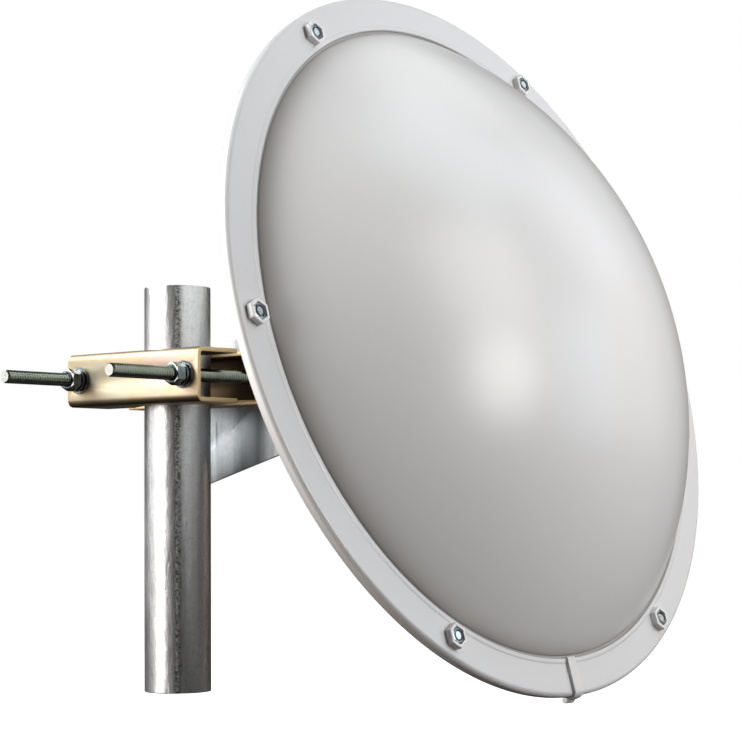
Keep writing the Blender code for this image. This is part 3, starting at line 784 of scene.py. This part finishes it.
def spring_washer_shape(bore, outer, thickness):
    """A split ring of near-square wire, its ends cut on the skew."""
    shape = bmesh.new()
    steps = 60
    split, skew = 20, 0.22
    section = rounded(oblong(bore, outer, 0, thickness), 0.4 * MM)
    rings = []
    for i in range(steps + 1):
        base = math.radians(split / 2 + (360 - split) * i / steps)
        points = []
        for radius, height in section:
            turn = base + (height / thickness - 0.5) * skew
            points.append((radius * math.cos(turn), radius * math.sin(turn), height))
        rings.append(ring_of(shape, points))
    for first, second in zip(rings, rings[1:]):
        bridge(shape, first, second)
    shape.faces.new(rings[0])
    shape.faces.new(rings[-1])
    return shape


def build_clamp():
    for name, tip, turn, body in (
        ("rear_jaw", REAR_TIP_X, 0.0, "rear_jaw"),
        ("front_jaw", -FRONT_TIP_X, math.pi, "clamp"),
    ):
        shape = jaw_shape(tip)
        mark_edges(shape, tip)
        place, looks = Matrix.Rotation(turn, 4, "Z"), ["jaw", "edge"]
        piece(f"{name}_channel", shape, place, body, [name], looks, 40)
    for index, y, far in ((1, -ROD_Y, "pivot"), (2, ROD_Y, "slot")):
        rod = thread_shape(ROD_FIXED_END - ROD_FREE_END, ROD_RADIUS, ROD_PITCH, 1.1 * MM)
        place = along_x(ROD_FREE_END, y) @ Matrix.Rotation(1.3 * index, 4, "Z")
        nodes, looks = [f"clamp_rod_{index}"], ["rod", "cut"]
        piece(f"threaded_rod_{index}", rod, place, "clamp", nodes, looks)
        build_stack(-JAW_WEB_X, y, -1, f"clamp_{index}", "rear_jaw", f"clamp_nut_{index}")
        build_stack(PLATE_X + PLATE_SHEET, y, 1, far, "clamp", "clamp")
        jam = nut_shape(NUT_ACROSS, NUT_BORE, JAM_HEIGHT, threaded=True)
        place = along_x(JAW_WEB_X - JAW_SHEET - GAP, y, -1) @ Matrix.Rotation(0.4 * index, 4, "Z")
        piece(f"jam_hex_{index}", jam, place, "clamp", [f"jam_nut_{index}"], ["zinc"])


def build_stack(face, y, direction, name, body, nut_body):
    """A washer, a spring washer and a nut on a rod, outwards from a face."""
    washer = washer_shape(WASHER_BORE, WASHER_RADIUS, WASHER_SHEET)
    spring = spring_washer_shape(WASHER_BORE, SPRING_RADIUS, SPRING_WIRE)
    nut = nut_shape(NUT_ACROSS, NUT_BORE, NUT_HEIGHT, threaded=True)
    x = face
    for kind, thickness, shape, spin, rider in (
        ("washer", WASHER_SHEET, washer, 0.0, body),
        ("spring_washer", SPRING_WIRE, spring, 2.2, body),
        ("nut", NUT_HEIGHT, nut, 0.0, nut_body),
    ):
        x += direction * GAP
        place = along_x(x, y, direction) @ Matrix.Rotation(spin, 4, "Z")
        piece(f"{name}_{kind}_skin", shape, place, rider, [f"{name}_{kind}"], ["zinc"])
        x += direction * thickness


# Bracket and hub


def build_bracket():
    """One sheet bent twice: side plate, back plate and stiffening lip, with its holes and slot."""
    bend = 6 * MM
    inner = bend - PLATE_SHEET
    left, right = PLATE_X, PLATE_X + BACK_WIDTH
    front = BACK_FACE
    back = BACK_FACE - 26 * MM
    near, far = left + bend, right - bend
    outline = (
        [(left, PLATE_REAR)]
        + arc((near, front - bend), bend, 180, 90, 10)
        + arc((far, front - bend), bend, 90, 0, 10)
        + [(right, back), (right - PLATE_SHEET, back)]
        + arc((far, front - bend), inner, 0, 90, 6)
        + arc((near, front - bend), inner, 90, 180, 6)
        + [(left + PLATE_SHEET, PLATE_REAR)]
    )
    shape = moved(prism(outline, PLATE_FOOT, PLATE_TOP), SWAP_YZ)
    pivot_hole = rod_shape(ROD_RADIUS + GAP, left - 5 * MM, left + 9 * MM)
    moved(pivot_hole, Matrix.Rotation(math.pi / 2, 4, "Y"))
    cutters = [pivot_hole, corner_cutter(1), corner_cutter(-1), slot_cutter()]
    holes = [(x, y, BOLT_RADIUS + 0.5 * MM, 32) for x, y in HUB_BOLTS]
    for x, y, radius, steps in holes + [(0, 0, HUB_BORE + 2 * MM, 96)]:
        hole = rod_shape(radius, front - 12 * MM, front + 8 * MM, steps)
        cutters.append(moved(hole, Matrix.Translation((DISH_ACROSS + x, y - AXIS_BELOW, 0))))
    shape = carve(shape, cutters, 0.4 * MM, 2, 35)
    piece("bracket_sheet", shape, PIVOT, "dish", ["main_bracket"], ["bracket"], 40)


def corner_cutter(sign):
    """What rounds off a rear corner of the side plate: the square corner less its quarter disc."""
    corner = 12 * MM
    edge = PLATE_TOP if sign > 0 else PLATE_FOOT
    centre = (PLATE_REAR + corner, edge - sign * corner)
    angles = (90, 180) if sign > 0 else (270, 180)
    outside = 3 * MM
    outline = arc(centre, corner, *angles, 12)
    outline = [(centre[0], edge + sign * outside)] + outline
    outline += [(PLATE_REAR - outside, centre[1]), (PLATE_REAR - outside, edge + sign * outside)]
    return plate_cutter(outline)


def plate_cutter(outline):
    """An outline of (forward, up) carried through the side plate."""
    return moved(prism(outline, PLATE_X - 5 * MM, PLATE_X + 9 * MM), SIDE_PLANE)


def slot_cutter():
    """The arc slot of the rear rod, swung about the front one."""
    reach, half = 2 * ROD_Y, ROD_RADIUS + 0.5 * MM
    swing = math.degrees(SLOT_SWING)
    end_a = (-reach * math.cos(SLOT_SWING), reach * math.sin(SLOT_SWING))
    end_b = (end_a[0], -end_a[1])
    outline = (
        arc((0, 0), reach + half, 180 - swing, 180 + swing, 24)
        + arc(end_b, half, 180 + swing, 360 + swing, 14)[1:-1]
        + arc((0, 0), reach - half, 180 + swing, 180 - swing, 24)
        + arc(end_a, half, -swing, 180 - swing, 14)[1:-1]
    )
    return plate_cutter(outline)


def build_hub():
    back = -RIM_AHEAD + BACK_FACE
    front = -REFLECTOR_DEPTH - REFLECTOR_SHEET - 0.8 * MM
    corners = [
        (HUB_BORE, back + GAP),
        (HUB_OUTER, back + GAP),
        (HUB_OUTER, front + 8.5 * MM),
        (HUB_OUTER * 0.7, front + 3 * MM),
        (HUB_BORE, front),
    ]
    ring = lathe(rounded(corners, [1 * MM, 1.8 * MM, 1.5 * MM, 0, 0.8 * MM], 4), 120)
    cutters = []
    for x, y in HUB_BOLTS:
        hole = rod_shape(BOLT_RADIUS + GAP, back - 10 * MM, back + 13 * MM, 32)
        cutters.append(moved(hole, Matrix.Translation((x, y, 0))))
    ring = carve(ring, cutters)
    piece("hub_casting", ring, DISH, "dish", ["hub_ring"], ["cast"])
    under = back - PLATE_SHEET - GAP - HUB_WASHER_SHEET
    for index, (x, y) in enumerate(HUB_BOLTS, 1):
        place = DISH @ Matrix.Translation((x, y, under))
        shape = washer_shape(HUB_WASHER_BORE, HUB_WASHER_RADIUS, HUB_WASHER_SHEET)
        fastener(f"hub_washer_{index}_skin", shape, place, f"hub_washer_{index}")
        place = DISH @ Matrix.Translation((x, y, under - GAP)) @ Matrix.Rotation(0.7 * index, 4, "Z")
        fastener(f"hub_bolt_{index}_skin", bolt_shape(18 * MM), place, f"hub_bolt_{index}")


def fastener(name, shape, place, node, look="zinc"):
    piece(name, shape, place, "dish", [node], [look])


def bolt_shape(length):
    """An M8 hexagon bolt: the head hangs below z = 0 and the threaded shank stands up from it."""
    dimple = 1 * MM
    shape = nut_shape(BOLT_ACROSS, dimple, BOLT_HEAD, faces=(True, False), low=-BOLT_HEAD)
    close_bore(shape, dimple)
    join(shape, thread_shape(length, BOLT_RADIUS, 1.25 * MM, 0.7 * MM, 24, 0.468 * MM))
    return shape


def close_bore(shape, bore):
    """Fills the small bore of a nut, to make it a bolt's head."""
    sunk = bore + 0.31 * MM
    inside = [face for face in shape.faces if all(v.co.xy.length < sunk for v in face.verts)]
    bmesh.ops.delete(shape, geom=inside, context="FACES")
    loose = [edge for edge in shape.edges if edge.is_boundary]
    bmesh.ops.edgeloop_fill(shape, edges=loose)
    bmesh.ops.delete(shape, geom=[v for v in shape.verts if not v.link_faces], context="VERTS")


def join(shape, other):
    mesh = bpy.data.meshes.new("join")
    other.to_mesh(mesh)
    other.free()
    shape.from_mesh(mesh)
    bpy.data.meshes.remove(mesh)


# Dish


def turned(name, corners, radii, steps, around, body, node, look):
    """A piece turned about the dish's axis from rounded corners."""
    piece(name, lathe(rounded(corners, radii, steps), around), DISH, body, [node], [look])


def dome_points(base_radius, rise, foot, rings):
    """The dome's profile from its middle to its foot, closer together towards the foot."""
    points = []
    for i in range(rings):
        radius = base_radius * math.sin(math.pi / 2 * i / rings)
        height = rise * max(0.0, 1 - (radius / base_radius) ** 2) ** DOME_POWER
        points.append((radius, max(height, foot)))
    return points + [(base_radius, foot)]


def boss_places():
    """The number and the place of each boss round the rim, its Y axis turned outwards."""
    for index in range(1, 7):
        turn = math.radians(60 * index - 150)
        spot = Matrix.Translation((BOLT_CIRCLE * math.sin(turn), BOLT_CIRCLE * math.cos(turn), 0))
        yield index, DISH @ spot @ Matrix.Rotation(-turn, 4, "Z")


def build_radome():
    """Dome, channel, lip, flange, rounded edge, skirt and inside, turned in one go, and the six bosses."""
    face = 0.3 * MM
    wall = RADOME_WALL
    dome = dome_points(DOME_RADIUS, DOME_RISE, face, 72)
    # A narrow channel at the dome's foot, inside the lip
    dome = [point for point in dome if point[0] < DOME_RADIUS - 0.25 * MM]
    floor = -1.3 * MM
    channel = [(DOME_RADIUS + 0.4 * MM, floor), (LIP_INNER - 0.8 * MM, floor)]
    channel = [dome[-1], *channel, (LIP_INNER - 0.2 * MM, face)]
    channel = rounded(channel, [0, 0.7 * MM, 0.4 * MM, 0], 4)[1:-1]
    lip = [(LIP_INNER - 0.2 * MM, face), (LIP_INNER + 0.2 * MM, LIP_RISE)]
    lip += [(LIP_OUTER - 1.2 * MM, LIP_RISE * 0.8), (LIP_OUTER + 1 * MM, face * 0.6)]
    lip = rounded(lip, [0, 0.5 * MM, 1.0 * MM, 1.2 * MM], 5)
    flange = [(RIM_RADIUS - 8 * MM, 0.02 * MM)]
    edge = arc((RIM_RADIUS - EDGE_ROUND, -EDGE_ROUND), EDGE_ROUND, 88, 0, 10)
    inside = RIM_RADIUS - 2.5 * MM
    skirt = [(RIM_RADIUS, -SKIRT_DEPTH), (inside, -SKIRT_DEPTH), (inside, -wall - 1 * MM)]
    skirt = rounded(skirt + [(inside - 1 * MM, -wall)], [0.8 * MM, 0.8 * MM, 0, 0])
    inner = dome_points(DOME_RADIUS - wall, DOME_RISE - wall, -wall, 24)[::-1]
    shell = lathe(dome + channel + lip + flange + edge + skirt + inner, 256)
    piece("radome_shell", shell, DISH, "dish", ["radome"], ["radome"], 28)
    for index, place in boss_places():
        shape = boss_shape()
        piece(f"radome_boss_{index}", shape, place, "dish", ["radome"], ["radome"], 35)


def hexagon(across):
    return arc((0, 0), across / math.sqrt(3), 0, 300, 5)


def boss_shape():
    """A hexagonal boss with a hexagonal recess that holds the nut."""
    shape = prism(rounded(hexagon(BOSS_ACROSS), 0.8 * MM), BOSS_FOOT, BOSS_TOP, 0.5 * MM)
    recess = prism(hexagon(RECESS_ACROSS), RECESS_FLOOR, 12 * MM)
    hole = rod_shape(BOLT_RADIUS + 0.4 * MM, -10 * MM, 12 * MM, 32)
    return carve(shape, [recess, hole], 0.25 * MM, 2, 40)


def build_radome_bolts():
    under = REFLECTOR_FACE - REFLECTOR_SHEET
    for index, place in boss_places():
        lower = place @ Matrix.Translation((0, 0, under - GAP))
        fastener(f"rim_bolt_{index}", bolt_shape(13.2 * MM), lower, f"radome_bolt_{index}", "stud")
        shape = nut_shape(RIM_NUT_ACROSS, BOLT_RADIUS + 0.05 * MM, RIM_NUT_HEIGHT, threaded=True)
        upper = place @ Matrix.Translation((0, 0, RIM_NUT_LOW))
        fastener(f"rim_nut_{index}", shape, upper, f"radome_nut_{index}")


def build_reflector():
    """A spun bowl with a flat flange and a turned-back edge, and the gasket between it and the radome."""
    floor = -REFLECTOR_DEPTH
    mouth = REFLECTOR_FACE
    sheet = REFLECTOR_SHEET
    focal = REFLECTOR_MOUTH**2 / (4 * (mouth - floor))
    first = HUB_BORE + 4 * MM
    radii = [first + (REFLECTOR_MOUTH - first) * i / 40 for i in range(41)]
    inside = [(r, floor + r * r / (4 * focal)) for r in radii]
    edge = RIM_RADIUS - 3.5 * MM
    bend = REFLECTOR_MOUTH + 2 * MM
    rim = [(bend, mouth), (edge, mouth), (edge, -SKIRT_DEPTH), (edge - sheet, -SKIRT_DEPTH)]
    rim += [(edge - sheet, mouth - sheet), (bend, mouth - sheet)]
    rim = rounded(rim, [0, 2 * MM, 0.4 * MM, 0.4 * MM, 0.5 * MM, 0], 4)
    outside = [(r, floor - sheet + r * r / (4 * focal)) for r in reversed(radii)]
    shape = lathe(inside + rim + outside, 200)
    piece("reflector_bowl", shape, DISH, "dish", ["reflector"], ["reflector"])
    inner, outer = REFLECTOR_MOUTH + 4 * MM, BOLT_CIRCLE - 5.5 * MM
    corners = oblong(inner, outer, mouth + GAP, -RADOME_WALL - GAP)
    turned("gasket_ring", corners, 0.3 * MM, 3, 160, "dish", "rim_gasket", "rubber")


def build_clip():
    """A strap from the lip over the rim near its lowest point, with a bead behind the edge."""
    centre = (RIM_RADIUS - EDGE_ROUND, -EDGE_ROUND)
    inner = EDGE_ROUND + 0.5 * GAP
    over_lip = LIP_RISE + 0.5 * MM
    over_flange = inner - EDGE_ROUND
    back = -SKIRT_DEPTH - GAP
    hook = RIM_RADIUS - 6 * MM
    outside = [
        (centre[0] + along * (inner + GAP + CLIP_SIDE), centre[1] + up * (CLIP_TOP + EDGE_ROUND))
        for along, up in arc((0, 0), 1, 0, 90, 14)
    ]
    profile = (
        [(CLIP_START, over_lip), (LIP_OUTER + 1 * MM, over_lip), (LIP_OUTER + 2.7 * MM, over_flange)]
        + arc(centre, inner, 90, 0, 10)
        + [(centre[0] + inner, back), (hook, back), (hook, back - 2.5 * MM)]
        + arc((RIM_RADIUS + 1.6 * MM, back - 0.4 * MM), CLIP_BEAD, 225, 430, 20)
        + outside
        + [(CLIP_START + 1 * MM, CLIP_TOP), (CLIP_START, CLIP_TOP - 0.5 * MM)]
    )
    shape = carve(prism(profile, CLIP_LEFT, CLIP_LEFT + CLIP_WIDTH), [], 0.45 * MM, 3, 40)
    swap = Matrix(((0, 0, 1, 0), (-1, 0, 0, 0), (0, 1, 0, 0), (0, 0, 0, 1)))
    piece("rim_strap", shape, DISH @ swap, "dish", ["rim_clip"], ["clip"])


def build_feed():
    """Collar, waveguide tube, dielectric cone and sub-reflector, from the back to the front."""
    back = -RIM_AHEAD + BACK_FACE - PLATE_SHEET
    bore, neck = FEED_TUBE + GAP, 30 * MM
    wide, spigot = HUB_BORE + 12 * MM, HUB_BORE - 1 * MM
    low, step, seat, front = back - 14 * MM, back - 7 * MM, back - 0.8 * MM, -REFLECTOR_DEPTH - 3 * MM
    corners = [(bore, low), (neck, low), (neck, step), (wide, step)]
    corners += [(wide, seat), (spigot, seat), (spigot, front), (bore, front)]
    turned("collar_casting", corners, 0.7 * MM, 3, 96, "feed", "feed_collar", "cast")
    corners = oblong(FEED_TUBE - 2.5 * MM, FEED_TUBE, back - 13.5 * MM, FEED_TOP)
    turned("waveguide_tube", corners, 0.4 * MM, 2, 64, "feed", "feed_tube", "cast")
    low = FEED_TOP + GAP
    corners = [(0, low), (FEED_TUBE, low), (CONE_RADIUS, CONE_TOP - 3 * MM)]
    corners += [(CONE_RADIUS, CONE_TOP), (0, CONE_TOP)]
    radii = [0, 0.5 * MM, 0.5 * MM, 0.5 * MM, 0]
    turned("dielectric_cone", corners, radii, 3, 96, "feed", "feed_cone", "ptfe")
    low = CONE_TOP + GAP
    corners = [(0, low), (41 * MM, low), (42 * MM, low + 1 * MM), (41 * MM, low + 3 * MM), (0, low + 5 * MM)]
    radii = [0, 0.3 * MM, 0.3 * MM, 0.5 * MM, 0]
    turned("splash_plate", corners, radii, 3, 96, "feed", "sub_reflector", "cast")


# Stage, lights and camera


def build_camera():
    azimuth, elevation = math.radians(CAMERA_AZIMUTH), math.radians(CAMERA_ELEVATION)
    roll = math.radians(CAMERA_ROLL)
    level = math.cos(elevation)
    back = Vector((math.sin(azimuth) * level, -math.cos(azimuth) * level, math.sin(elevation)))
    right = Vector((math.cos(azimuth), math.sin(azimuth), 0))
    up = back.cross(right)
    across = right * math.cos(roll) + up * math.sin(roll)
    upright = up * math.cos(roll) - right * math.sin(roll)
    data = bpy.data.cameras.new("camera")
    data.lens = CAMERA_LENS
    data.sensor_width = 36
    data.clip_end = 60
    camera = linked("camera", data)
    axes = Matrix((across, upright, back)).transposed().to_4x4()
    camera.matrix_world = Matrix.Translation(CAMERA_PLACE) @ axes
    SCENE.camera = camera


def softbox(name, azimuth, elevation, distance, width, height, radiance):
    """An area light seen from the subject at an azimuth to the right of the camera and an elevation."""
    turn = math.radians(CAMERA_AZIMUTH + azimuth)
    rise = math.radians(elevation)
    level = math.cos(rise)
    direction = Vector((math.sin(turn) * level, -math.cos(turn) * level, math.sin(rise)))
    data = bpy.data.lights.new(name, "AREA")
    data.shape = "RECTANGLE"
    data.size, data.size_y = width, height
    brightest = max(radiance)
    data.color = [channel / brightest for channel in radiance]
    data.energy = brightest * math.pi * width * height
    light = linked(name, data)
    light.location = SUBJECT + direction * distance
    light.rotation_mode = "QUATERNION"
    light.rotation_quaternion = direction.to_track_quat("Z", "Y")
    light.visible_camera = False
    return light


def build_lights():
    for name, azimuth, elevation, radiance in (
        ("right_low", 90, 8, (1.9, 2.15, 2.45)),
        ("right_low_far", 115, 8, (0.8, 0.65, 0.52)),
        ("right", 62, 33, (4.9, 4.85, 4.8)),
        ("right_far", 115, 33, (1.1, 1.15, 1.28)),
        ("behind", 150, 58, (1.3, 1.3, 1.3)),
        ("left_far", -110, 33, (9.0, 9.2, 9.2)),
        ("left", -80, 33, (13.6, 13.8, 14.2)),
        ("left_low", -95, 8, (1.95, 1.9, 1.9)),
        ("front_low", -60, -4, (3.9, 3.55, 3.3)),
    ):
        softbox(name, azimuth, elevation, 2.4, 1.1, 1.05, radiance)
    softbox("front_left", -60, 12, 2.4, 0.8, 1.0, (6.1, 6.2, 6.2))
    softbox("top", 90, 60, 2.4, 1.3, 1.1, (2.2, 2.45, 2.6))
    softbox("glow", 61, 9, 2.5, 0.9, 0.9, (8.9, 8.6, 8.3)).data.shape = "DISK"


def build_world():
    """White where the camera sees it, and a dim warm room for the light."""
    world = bpy.data.worlds.new("studio")
    world.use_nodes = True
    tree = world.node_tree
    tree.nodes.clear()
    out = tree.nodes.new("ShaderNodeOutputWorld")
    seen = tree.nodes.new("ShaderNodeBackground")
    seen.inputs[0].default_value = (1, 1, 1, 1)
    room = tree.nodes.new("ShaderNodeBackground")
    room.inputs[0].default_value = (1.0, 0.95, 0.9, 1)
    room.inputs[1].default_value = 0.05
    path = tree.nodes.new("ShaderNodeLightPath")
    mix = tree.nodes.new("ShaderNodeMixShader")
    tree.links.new(path.outputs["Is Camera Ray"], mix.inputs[0])
    tree.links.new(room.outputs[0], mix.inputs[1])
    tree.links.new(seen.outputs[0], mix.inputs[2])
    tree.links.new(mix.outputs[0], out.inputs[0])
    SCENE.world = world
    SCENE.view_settings.view_transform = "Standard"


def build_floor():
    """A wide pale floor that glows by itself, below the dish's whole swing."""
    shape = bmesh.new()
    reach = 30
    corners = [(-reach, -reach), (reach, -reach), (reach, reach), (-reach, reach)]
    shape.faces.new(ring_of(shape, [(x, y, FLOOR_HEIGHT) for x, y in corners]))
    floor = as_object(shape, "floor")
    look = Look("floor_paper")
    look.colour(look.ramp(look.noise(3, 3, 0.5), (0.3, 0.80), (0.7, 0.84)))
    look.rough(0.9)
    look.shader.inputs["Emission Color"].default_value = (1, 1, 1, 1)
    away = look.vector("LENGTH", look.place)
    glow = look.span(away, 0.6, 2.4, 0.92, 1.05)
    look.feed(look.shader.inputs["Emission Strength"], glow)
    floor.data.materials.append(look.material)
    floor.visible_diffuse = False
    floor.visible_glossy = False


build_camera()
build_world()
build_lights()
build_floor()
build_mast()
build_clamp()
build_bracket()
build_hub()
build_reflector()
build_radome()
build_radome_bolts()
build_clip()
build_feed()
